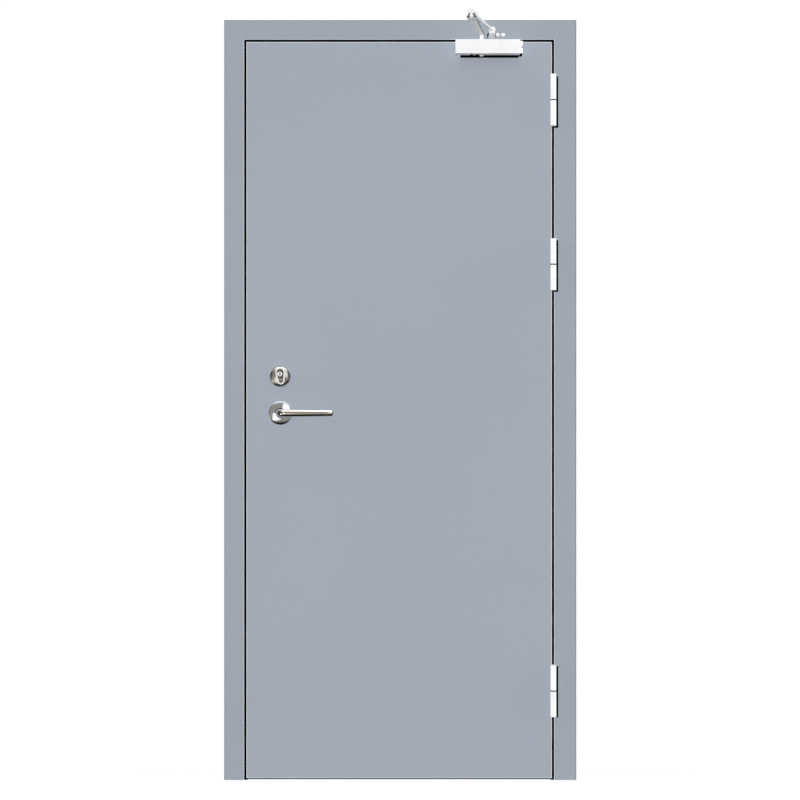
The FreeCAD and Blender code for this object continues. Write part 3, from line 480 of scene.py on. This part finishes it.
def weld_frame():
    """Both jambs and the head as one welded frame, ground flush at its corners."""
    parts = ("hinge_jamb", "lock_jamb", "frame_head")
    mesh = solid_of(parts[0], "frame_welded")
    made = piece("frame_welded", mesh, MATERIALS["frame_paint"], "frame", "frame_paint", parts)
    for part in parts[1:]:
        shape(made, solid_of(part, "cutter"), "UNION")
    bm = bmesh.new()
    bm.from_mesh(made.data)
    tidy(bm)
    bm.to_mesh(made.data)
    bm.free()
    made.data.materials.clear()
    made.data.materials.append(MATERIALS["frame_paint"])
    leaf_low, leaf_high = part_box("leaf_front_skin")
    low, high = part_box("lock_jamb")[0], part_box("hinge_jamb")[1]
    # Painted highlight along the folds at the gap, painted shade along the frame's outer front edges
    for left, right, top, width, material in (
        (leaf_low.x - GAP, leaf_high.x + GAP, leaf_high.z + GAP, 1.5 * MM, FOLD_HIGHLIGHT_PAINT["frame"]),
        (low.x, high.x, high.z, 2.4 * MM, FOLD_SHADE_PAINT),
    ):
        def in_front(one, two):
            upright = any(level_at(one, two, X, x) for x in (left, right))
            return level_at(one, two, Y, FACE_FRONT) and (upright or level_at(one, two, Z, top))

        paint_light_and_shade_on_folds(made.data, in_front, width, material)
    return soften(made, 0.5 * MM, 2, 40)


def dress_skins():
    """The leaf's two sheets, with a painted highlight along the long folds of each face."""
    for node, face in (("leaf_front_skin", FACE_FRONT), ("leaf_back_skin", FACE_BACK)):
        skin = rounded(node, 0.5 * MM)

        def outer_fold_shade(one, two):
            return level_at(one, two, Y, face) and (one - two).length > LONG_FOLD

        paint_light_and_shade_on_folds(skin.data, outer_fold_shade, 1.7 * MM, FOLD_HIGHLIGHT_PAINT["leaf"])


def shade_gasket(name, low, high):
    """A thin black strip glued inside the rebate: a gasket, and painted shade that keeps the gap
    dark.
    """
    outline = box_outline(low[X], high[X], low[Y], high[Y])
    mesh = loft(name, [[(x, y, level) for x, y in outline] for level in (low[Z], high[Z])])
    return soften(piece(name, mesh, SHADE_BLACK, "frame", "seal_rubber"), 0.2 * MM)


def dress_gaps():
    """Black strips round the leaf, under it and in the notches of the hinges, as painted shade in
    these gaps and notches.
    """
    low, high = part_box("leaf_front_skin")
    left, right, top = low.x - GAP, high.x + GAP, high.z + GAP
    near, thin, foot = FACE_FRONT + 3 * MM, 0.8 * MM, 0.6 * MM
    far = min(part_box("lock_seal")[1].y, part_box("threshold")[0].y) - 1 * MM
    shade_gasket("lock_side_shade_gasket", (left, near, foot), (left + thin, far, top - 1 * MM))
    shade_gasket("hinge_side_shade_gasket", (right - thin, near, foot), (right, far, top - 1 * MM))
    for name, start, end in (
        ("lock_side_foot", left, low.x + 4 * MM),
        ("hinge_side_foot", high.x - 4 * MM, right),
    ):
        shade_gasket(name, (start, FACE_FRONT + 1 * MM, 0.3 * MM), (end, far, 1.6 * MM))
    # A black rubber sweep under the leaf, which is also painted shade in the gap over the floor
    sweep = box_outline(low.x + 1 * MM, high.x - 1 * MM, 2.2 * MM, low.z)
    mesh = prism("foot_seal", sweep, FACE_FRONT + 1 * MM, FACE_FRONT + 7 * MM)
    piece("foot_seal", mesh, FOOT_SHADE_RUBBER, "leaf", "seal_rubber")
    shade_gasket("head_shade_gasket", (left, near, top - thin), (right, far, top))
    for place in PLACES:
        # Painted shadow: a black plate in the notch beside each barrel stands for the barrel's
        # shadow
        name = f"{place}_hinge_shadow_guard"
        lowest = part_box(f"{place}_hinge_frame_barrel")[0].z
        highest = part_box(f"{place}_hinge_leaf_barrel")[1].z
        start = right + 0.3 * MM
        guard = box_outline(start, start + 10.6 * MM, lowest - 6 * MM, highest + 2 * MM)
        mesh = prism(name, guard, FACE_FRONT + 0.6 * MM, FACE_FRONT + 3.4 * MM)
        soften(piece(name, mesh, SHADE_BLACK, "frame", "seal_rubber"), 0.2 * MM)


def dress_hinges():
    """Rounded barrels, and a pin whose washer parts them, black as painted shade in the split."""
    for place in PLACES:
        rounded(f"{place}_hinge_leaf_barrel", 1.2 * MM, 3)
        rounded(f"{place}_hinge_frame_barrel", 1.2 * MM, 3)
        low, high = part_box(f"{place}_hinge_pin")
        axis, tall = (low + high) / 2, (high.z - low.z) / MM
        profile = [(0, 0), (7.3, 0), (7.3, 3), (4.5, 3), (4.5, tall - 1.5), (3, tall), (0, tall)]
        name = f"{place}_pin_turned"
        mesh = lathe(name, (axis.x, axis.y, low.z), UP, in_mm(profile), 40)
        # Painted shade: the pin is black so that the split between the barrels stays dark
        piece(name, mesh, BLACK_PART_AND_SHADE, "frame", "hinge_steel", (f"{place}_hinge_pin",))


weld_frame()
rounded("threshold", 1.5 * MM, 3)
dress_skins()
dress_gaps()
for node in ("leaf_core", "lock_seal", "hinge_seal", "head_seal"):
    frame["nodes"][node].data.materials.clear()
    frame["nodes"][node].data.materials.append(MATERIALS[SLOT_OF[node]])
dress_hinges()
for node in ("strike_plate", "lock_faceplate", "latch_bolt", "dead_bolt"):
    rounded(node, 0.5 * MM)
rounded("lever_spindle", 0.3 * MM)

# Closer and the screws

VALVES = (("valve_sweep", 0.206), ("valve_latch", 0.19))  # name and X
VALVE_DEPTH = -0.128
ELBOW = (0.182, -0.295)
# Name, X and radius
SHOE_SCREWS = (("shoe_screw_inner", 0.2613, 7 * MM), ("shoe_screw_outer", 0.2775, 5.6 * MM))


def dress_closer():
    """The closer with undersides painted black as shade, its valves, its turned pinion and its arms,
    the main arm with painted shade on its flanks.
    """
    rounded("closer_cover", 1.0 * MM, 3)
    body, cap = rounded("closer_body", 0.6 * MM), rounded("closer_end_cap", 0.8 * MM, 3)
    # Painted shade: the faces of the body and the cap that look down are black
    second_tone(body, BLACK_PART_AND_SHADE, lambda normal: normal.z < -0.5)
    second_tone(cap, BLACK_PART_AND_SHADE, lambda normal: normal.z < -0.9)
    low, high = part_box("closer_pinion")
    axis, tall = (low + high) / 2, (high.z - low.z) / MM
    profile = [(0, 3.2), (4, 3.2), (4.6, 3.8), (4.6, 6), (5, 6), (5, tall), (0, tall)]
    name = "pinion_turned"
    mesh = lathe(name, (axis.x, axis.y, low.z), UP, in_mm(profile), 48)
    piece(name, mesh, MATERIALS["arm_steel"], "closer_arm", "arm_steel", ("closer_pinion",))
    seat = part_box("closer_cover")[0].z + 0.5 * MM
    valve = in_mm([(0, 0), (4.5, 0), (4.5, 0.8), (0, 0.8)])
    for name, x in VALVES:
        mesh = lathe(name, (x, VALVE_DEPTH, seat), DOWN, valve, 32)
        piece(name, mesh, BLACK_PART_AND_SHADE, "leaf", "closer_silver")
    arm = rounded("closer_main_arm", 0.8 * MM, 3)
    # Painted shade on the main arm's side faces
    second_tone(arm, SHADED_FLANK, lambda normal: abs(normal.z) < 0.1 and abs(normal.x) > 0.4)
    rounded("forearm_rod", 0.6 * MM)
    rounded("forearm_sleeve", 0.6 * MM)
    rounded("shoe_pin", 0.8 * MM, 3)


def dress_shoe():
    """The shoe: a painted plate on the head, and a steel bracket under the arm's eye, with painted
    shade on its flanks.
    """
    low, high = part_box("closer_shoe")
    middle = middle_of("shoe_pin").x
    wall, tip = high.y - 2 * MM, low.y
    plate = prism("shoe_plate", box_outline(low.x, high.x, low.z, high.z), wall, high.y)
    paint = MATERIALS["frame_paint"]
    made = piece("shoe_plate", plate, paint, "frame", "frame_paint", ("closer_shoe",))
    soften(made, 0.8 * MM, 3)
    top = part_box("forearm_rod")[0].z - 0.6 * MM
    rings = [
        [(x, y, z) for x, z in box_outline(middle - half, middle + half, low.z + foot, top)]
        for y, half, foot in (
            (wall, 12.5 * MM, 0),
            (wall - 15 * MM, 9.2 * MM, 3.6 * MM),
            (tip + 5 * MM, 8 * MM, 6.9 * MM),
            (tip, 4.5 * MM, 8 * MM),
        )
    ]
    mesh = loft("shoe_bracket", rings)
    bracket = piece("shoe_bracket", mesh, MATERIALS["arm_steel"], "frame", "arm_steel")
    soften(bracket, 0.9 * MM, 3)
    second_tone(bracket, SHADED_FLANK, lambda normal: abs(normal.x) > 0.9)
    for name, x, radius in SHOE_SCREWS:
        centre = (x, wall, low.z + 11.5 * MM)
        screw(name, centre, (0, -1, 0), radius, 2.6 * MM, "frame", "arm_steel", 4.6 * MM / radius)


def screw_plates():
    """Two flat screws each in the faceplate and in the strike."""
    for node, side in (("lock_faceplate", -1), ("strike_plate", 1)):
        low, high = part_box(node)
        face = low.x if side < 0 else high.x
        for name, z in (("low", low.z + 9 * MM), ("high", high.z - 9 * MM)):
            centre = (face, (low.y + high.y) / 2, z)
            screw(f"{node}_{name}_screw", centre, (side, 0, 0), 3.8 * MM, 0.6 * MM,
                  BODY_OF[node], SLOT_OF[node])


def pin_elbow():
    """The elbow's screw on the forearm, and its rivet under the main arm."""
    top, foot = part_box("forearm_sleeve")[1].z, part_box("closer_main_arm")[0].z
    screw("elbow_screw", (*ELBOW, top), UP, 5.5 * MM, 2.2 * MM, "closer_forearm", "arm_steel")
    screw("elbow_rivet", (*ELBOW, foot), DOWN, 5 * MM, 1.8 * MM, "closer_arm", "arm_steel")


dress_closer()
dress_shoe()
screw_plates()
pin_elbow()

# Lever sets

ROSE = (
    (10.9, 0), (31.2, 0), (32, 0.8), (32, 3.6), *arc((30.4, 3.6), 1.6, 0, 72, 6)[1:],
    (27, 6.0), (23, 6.8), (19, 7.5), (15, 8.1), (12, 8.6), (10.9, 8.6), (10.9, 0),
)
NECK_BUSH = ((10.8, 7), (13.2, 7), (13.2, 8.9), (10.8, 8.9), (10.8, 7))
# The lever's neck as (height over the face, radius), narrower where the rose and bush hold it
NECK = ((1, 9.4), (1.4, 9.8), (9.6, 9.8), (10.0, 10.3), (10.6, 10.5), (20, 10.5), (28, 10.5))
NECK_RADIUS = 10.5
BEND_STEPS, GRIP_STEPS, TIP_STEPS = 12, 10, 7
KEY_WAY = (
    (-1.4, -4.4), (1.4, -4.4), (1.4, -1.5), (2.1, -0.6), (2.1, 1.6), (1.4, 2.4),
    (1.4, 4.4), (-1.4, 4.4), (-1.4, 1.4), (-0.6, 0.4), (-0.6, -1.6), (-1.4, -2.6),
)
# The case's outline: its two radii, how far their centres part, and its lean in degrees
CASE_TOP, CASE_LOW, CASE_RISE, CASE_LEAN = 13 * MM, 9.5 * MM, 23 * MM, -6
CASE_RIM = 3.6 * MM


def turned(name, centre, outward, profile, steps, material, slot, stands_for=()):
    """A piece turned about an axis that stands square on the leaf."""
    mesh = lathe(name, centre, (0, outward, 0), profile, steps)
    return piece(name, mesh, material, "leaf", slot, stands_for)


def dress_rose(place, face, outward):
    """The polished domed rose, rolled over at its rim, and the black bush in it."""
    middle = middle_of(f"{place}_rose")
    centre = (middle.x, face, middle.z)
    turned(f"{place}_rose_dome", centre, outward, in_mm(ROSE), 96,
           ROSE_STEEL, "satin_steel", (f"{place}_rose",))
    turned(f"{place}_neck_bush", centre, outward, in_mm(NECK_BUSH), 64,
           BLACK_PART_AND_SHADE, "satin_steel")


def oval(centre, across, half_deep, half_tall, power, count=48):
    """A ring of points, round at power 2 and squarer above it."""
    ring = []
    for step in range(count):
        angle = 2 * math.pi * step / count
        c, s = math.cos(angle), math.sin(angle)
        u = math.copysign(abs(c) ** (2 / power), c) * half_deep
        w = math.copysign(abs(s) ** (2 / power), s) * half_tall
        ring.append(centre + across * u + Vector(UP) * w)
    return ring


def dress_lever(place, face, outward):
    """The lever as one cast form: round neck, bend and tapered grip."""
    low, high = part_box(f"{place}_lever")
    side, out = Vector((1, 0, 0)), Vector((0, outward, 0))
    standoff, bend, tip = 50 * MM, 17 * MM, 6 * MM
    base = Vector((low.x + NECK_RADIUS * MM, face, (low.z + high.z) / 2))
    reach = high.x - base.x - tip
    rings = [
        oval(base + out * height * MM, side, radius * MM, radius * MM, 2)
        for height, radius in NECK
    ]
    turn = base + out * (standoff - bend) + side * bend
    for step in range(BEND_STEPS + 1):
        share = step / BEND_STEPS
        angle = math.radians(90 * share)
        here = turn - side * math.cos(angle) * bend + out * math.sin(angle) * bend
        across = side * math.cos(angle) - out * math.sin(angle)
        half_deep = (10.4 - 3.4 * share) * MM
        rings.append(oval(here, across, half_deep, NECK_RADIUS * MM, 2 + 0.1 * share))
    grip = base + out * standoff
    for step in range(1, GRIP_STEPS + 1):
        share = step / GRIP_STEPS
        here = grip + side * (bend + (reach - bend) * share)
        rings.append(oval(here, -out, (7 - 0.9 * share) * MM, (10.5 - 1.7 * share) * MM, 2.1))
    for step in range(1, TIP_STEPS + 1):
        angle = math.radians(90 * step / (TIP_STEPS + 0.4))
        here = grip + side * (reach + tip * math.sin(angle))
        scale = 0.35 + 0.65 * math.cos(angle)
        rings.append(oval(here, -out, 6.1 * MM * scale, 8.8 * MM * scale, 2.1))
    name = f"{place}_lever_cast"
    mesh = loft(name, rings)
    return piece(name, mesh, MATERIALS["satin_steel"], "lever", "satin_steel", (f"{place}_lever",))


def teardrop(centre, inset=0.0, count=40):
    """The case's egg outline: a wide round top over a narrower foot, leaning a little."""
    top_radius, low_radius = CASE_TOP - inset, CASE_LOW - inset
    tilt = math.radians(CASE_LEAN)
    half_rise = Vector((CASE_RISE * math.sin(tilt) * 0.5, CASE_RISE * math.cos(tilt) * 0.5))
    case_middle = Vector((centre.x, centre.z))
    reach = math.asin((top_radius - low_radius) / CASE_RISE)
    points = []
    for middle, radius, start, end in (
        (case_middle + half_rise, top_radius, -reach, math.pi + reach),
        (case_middle - half_rise, low_radius, math.pi + reach, 2 * math.pi - reach),
    ):
        for step in range(count // 2 + 1):
            angle = start + (end - start) * step / (count // 2) - tilt
            points.append((middle.x + radius * math.cos(angle), middle.y + radius * math.sin(angle)))
    return points


def ends(node, outward):
    """The depths of a node's back and of its outer face."""
    low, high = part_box(node)
    return (high.y, low.y) if outward < 0 else (low.y, high.y)


def dress_guard(place, face, outward):
    """The turned guard, rounded at its outer rim."""
    low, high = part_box(f"{place}_cylinder_guard")
    middle = (low + high) / 2
    radius, deep, dome = (high.x - low.x) / 2, high.y - low.y, 5.5 * MM
    shoulder = deep - 7 * MM
    profile = [
        (0, 0), (radius - 0.6 * MM, 0), (radius, 0.6 * MM), (radius, shoulder),
        *arc((radius - dome, shoulder), dome, 0, 62, 6)[1:], (radius - 7.3 * MM, deep), (0, deep),
    ]
    turned(f"{place}_guard_turned", (middle.x, face, middle.z), outward, profile, 96,
           DIM_GUARD_STEEL, "satin_steel", (f"{place}_cylinder_guard",))


def dress_case(place, outward):
    """The egg-shaped case: a raised rim round a pocket whose darker floor is painted shade, and a
    well round the plug whose black floor is painted shade.
    """
    back, front = ends(f"{place}_key_case", outward)
    tip = ends(f"{place}_key_plug", outward)[1]
    low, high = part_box(f"{place}_key_plug")
    radius = (high.x - low.x) / 2
    well = ((low.x + high.x) / 2 + 0.8 * MM, (low.z + high.z) / 2 - 0.8 * MM)
    clear = tip + outward * 5 * MM
    case_middle = middle_of(f"{place}_key_case")
    outline, floor_line = teardrop(case_middle), teardrop(case_middle, CASE_RIM)
    bore = arc(well, radius, 0, 351, 39)

    name = f"{place}_case_cast"
    mesh = prism(name, outline, back, front)
    case = piece(name, mesh, CASE_NICKEL, "leaf", "satin_steel", (f"{place}_key_case",))
    shape(case, prism("pocket", floor_line, front - outward * 2.4 * MM, front + outward * 5 * MM))
    shape(case, prism("bore", bore, back + outward * 1 * MM, clear))
    soften(case, 1.2 * MM, 4)

    # Painted shade: the pocket's floor is a darker steel than the case
    name = f"{place}_case_pocket"
    mesh = prism(name, floor_line, front - outward * 2.5 * MM, front - outward * 2.1 * MM)
    pocket = piece(name, mesh, SHADED_POCKET_STEEL, "leaf", "satin_steel")
    shape(pocket, prism("bore", bore, back, clear))

    # Painted shade: a black disc on the floor of the well round the plug
    radius -= 0.1 * MM
    profile = [(0, 0), (radius, 0), (radius, 0.6 * MM), (0, 0.6 * MM)]
    turned(f"{place}_case_well_shade", (well[0], back + outward * 1.1 * MM, well[1]), outward, profile,
           48, SHADE_BLACK, "satin_steel")


def dress_plug(place, outward):
    """The key plug with its key slot, made dark inside by a black piece as painted shade."""
    back = ends(f"{place}_key_case", outward)[0]
    tip = ends(f"{place}_key_plug", outward)[1]
    low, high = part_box(f"{place}_key_plug")
    middle, radius, deep = (low + high) / 2, (high.x - low.x) / 2 - 1.8 * MM, abs(tip - back)
    profile = [
        (0, 1.2 * MM), (radius, 1.2 * MM), (radius, deep - 1.2 * MM),
        (radius - 0.4 * MM, deep - 0.4 * MM), (radius - 1.4 * MM, deep), (0, deep),
    ]
    plug = turned(f"{place}_plug_turned", (middle.x, back, middle.z), outward, profile, 48,
                  MATERIALS["key_brass"], "key_brass", (f"{place}_key_plug",))
    outline = [(middle.x + x * MM, middle.z + z * MM) for x, z in KEY_WAY]
    shape(plug, prism("key_way", outline, tip - outward * 4 * MM, tip + outward * 2 * MM))
    # Painted shade: a black piece deep in the key slot
    name = f"{place}_key_slot_shade"
    mesh = prism(name, outline, tip - outward * 4.4 * MM, tip - outward * 1.2 * MM)
    piece(name, mesh, SHADE_BLACK, "leaf", "key_brass")


for place, face, outward in (("outer", FACE_FRONT, -1), ("inner", FACE_BACK, 1)):
    dress_rose(place, face, outward)
    dress_lever(place, face, outward)
    dress_guard(place, face, outward)
    dress_case(place, outward)
    dress_plug(place, outward)

# Stage

POLISHED = ("satin_steel", "key_brass", "arm_steel")
BARE_METAL = bpy.data.collections.new("bare_metal")
FLOOR_SIZE, FLOOR_LEVEL = 30, -0.5 * MM  # just under the door
LEVERS = -0.32  # X of the lever sets
# Cards of light: name, X they face, how far aside of it, before the door and up, size, radiance
CARDS = (
    ("above", 0, 0, 1.3, 3.2, (3.2, 1.6), 1.3),
    ("right", LEVERS, -0.6, 2.6, 1.55, (0.95, 0.95), 1.2),
    ("low", LEVERS, 1.0, 0.9, 0.5, (0.5, 0.5), 1.3),
    ("left", LEVERS, 0.62, 2.6, 0.55, (0.95, 0.85), 1.2),
)
SENSOR = 36  # millimetres
PIXEL = 2.697 * MM  # what one of the photograph's 800 pixels spans at the door's face
CAMERA_DISTANCE = 4.0  # from that face
CAMERA_PLACE = (-0.0007, -4.083, 1.025)


def absolute(tree, value):
    node = tree.nodes.new("ShaderNodeMath")
    node.operation = "ABSOLUTE"
    tree.links.new(value, node.inputs[0])
    return node.outputs[0]


def split_place(tree, kind):
    """The X, Y and Z of a texture coordinate."""
    place = tree.nodes.new("ShaderNodeTexCoord")
    split = tree.nodes.new("ShaderNodeSeparateXYZ")
    tree.links.new(place.outputs[kind], split.inputs["Vector"])
    return split.outputs


def glowing(tree, kind, strength, colour=(1, 1, 1)):
    """An emission or background shader of one colour."""
    node = tree.nodes.new(kind)
    node.inputs["Color"].default_value = (*colour, 1)
    node.inputs["Strength"].default_value = strength
    return node


def mix_shaders(tree, first, second):
    """A mix of two shaders. Its factor is still to be set."""
    node = tree.nodes.new("ShaderNodeMixShader")
    tree.links.new(first.outputs[0], node.inputs[1])
    tree.links.new(second.outputs[0], node.inputs[2])
    return node


def by_ray(tree, ray, others, shader):
    """One shader for a kind of ray, and another for all others."""
    node = mix_shaders(tree, others, shader)
    path = tree.nodes.new("ShaderNodeLightPath")
    tree.links.new(path.outputs[ray], node.inputs["Fac"])
    return node


def stage_floor():
    """A wide pale floor: white to the camera, with the door's shadow on it.

    In gloss it is dark near the door and warm further off.
    """
    bm = bmesh.new()
    bmesh.ops.create_grid(bm, x_segments=2, y_segments=2, size=FLOOR_SIZE)
    mesh = bpy.data.meshes.new("floor")
    bm.to_mesh(mesh)
    bm.free()
    floor = bpy.data.objects.new("floor", mesh)
    floor.location.z = FLOOR_LEVEL
    bpy.context.scene.collection.objects.link(floor)
    material = bpy.data.materials.new("floor")
    material.use_nodes = True
    tree = material.node_tree
    tree.nodes.remove(tree.nodes["Principled BSDF"])
    plain = glowing(tree, "ShaderNodeEmission", 0, (1, 0.9, 0.77))
    away = absolute(tree, split_place(tree, "Object")["Y"])
    strength = map_range(tree, away, start=2.15, end=2.8, low=0.012, high=0.3)
    tree.links.new(strength, plain.inputs["Strength"])
    pale = tree.nodes.new("ShaderNodeBsdfDiffuse")
    pale.inputs["Color"].default_value = (0.9, 0.9, 0.9, 1)
    shown = mix_shaders(tree, pale, glowing(tree, "ShaderNodeEmission", 1.02))
    shown.inputs["Fac"].default_value = 0.95  # the matt rest takes the shadow
    unseen = by_ray(tree, "Is Glossy Ray", glowing(tree, "ShaderNodeEmission", 0.3), plain)
    choice = by_ray(tree, "Is Camera Ray", unseen, shown)
    tree.links.new(choice.outputs[0], tree.nodes["Material Output"].inputs["Surface"])
    mesh.materials.append(material)


def studio_world():
    """White to the camera, and a plain fill for matt surfaces.

    The room seen in the metal is light above, warm at the horizon and dark at the sides.
    """
    world = bpy.data.worlds.new("studio")
    bpy.context.scene.world = world
    world.use_nodes = True
    tree = world.node_tree
    room = tree.nodes["Background"]
    place = split_place(tree, "Generated")
    ramp = tree.nodes.new("ShaderNodeValToRGB")
    tree.links.new(place["Z"], ramp.inputs["Fac"])
    stops = ramp.color_ramp.elements
    stops[0].position, stops[0].color = 0.38, (0.36, 0.33, 0.29, 1)
    stops[1].position, stops[1].color = 0.46, (1, 1, 1, 1)
    tree.links.new(ramp.outputs["Color"], room.inputs["Color"])
    strength = map_range(tree, absolute(tree, place["X"]), start=0.55, end=0.8, low=0.8, high=0.08)
    tree.links.new(strength, room.inputs["Strength"])
    fill = glowing(tree, "ShaderNodeBackground", 0.3, (0.96, 0.98, 1))
    unseen = by_ray(tree, "Is Diffuse Ray", room, fill)
    choice = by_ray(tree, "Is Camera Ray", unseen, glowing(tree, "ShaderNodeBackground", 1))
    tree.links.new(choice.outputs[0], tree.nodes["World Output"].inputs["Surface"])


def hold_lamp(name, lamp, direction):
    """Put a lamp in the scene, shining along the direction."""
    holder = bpy.data.objects.new(name, lamp)
    holder.rotation_mode = "QUATERNION"
    holder.rotation_quaternion = direction.to_track_quat("-Z", "Y")
    bpy.context.scene.collection.objects.link(holder)
    return holder


def sun(name, travel, strength, angle):
    """A sun that isn't seen in gloss."""
    lamp = bpy.data.lights.new(name, "SUN")
    lamp.energy = strength
    lamp.angle = math.radians(angle)
    hold_lamp(name, lamp, Vector(travel)).visible_glossy = False


def softbox(name, place, target, size, radiance):
    """A card of light that only shows in the gloss of the bare metal."""
    lamp = bpy.data.lights.new(name, "AREA")
    lamp.shape = "RECTANGLE"
    lamp.size, lamp.size_y = size
    lamp.energy = radiance * math.pi * size[0] * size[1]
    holder = hold_lamp(name, lamp, Vector(target) - Vector(place))
    holder.location = place
    holder.visible_diffuse = False
    holder.light_linking.receiver_collection = BARE_METAL


# The cards light the bare metal. Lever sets and closer cast no shadow, as in the photograph
for thing in list(bpy.context.scene.objects):
    if thing.get("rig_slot") in POLISHED:
        BARE_METAL.objects.link(thing)
    if thing.get("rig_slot") in (*POLISHED, "closer_silver"):
        thing.visible_shadow = False
stage_floor()
studio_world()
sun("key_front", (0.01, 1.0, -0.045), strength=2.25, angle=4)
sun("key_back", (-0.01, -1.0, -0.045), strength=2.25, angle=4)
sun("side_left", (1.0, 0.05, -0.3), strength=2.0, angle=30)
sun("side_right", (-1.0, 0.05, -0.3), strength=2.0, angle=30)
for side in (-1, 1):
    for name, x, aside, before, height, size, radiance in CARDS:
        place = (x + side * aside, side * before, height)
        softbox(f"{name}_{side + 1}", place, (x, side * 0.1, 1.0), size, radiance)

# Camera: straight at the door's face
camera = bpy.data.objects.new("camera", bpy.data.cameras.new("camera"))
camera.data.sensor_width = SENSOR
camera.data.lens = SENSOR * CAMERA_DISTANCE / (800 * PIXEL)
camera.location = CAMERA_PLACE
camera.rotation_euler = (math.radians(90), 0, 0)
bpy.context.scene.collection.objects.link(camera)
bpy.context.scene.camera = camera
bpy.context.scene.view_settings.view_transform = "Standard"
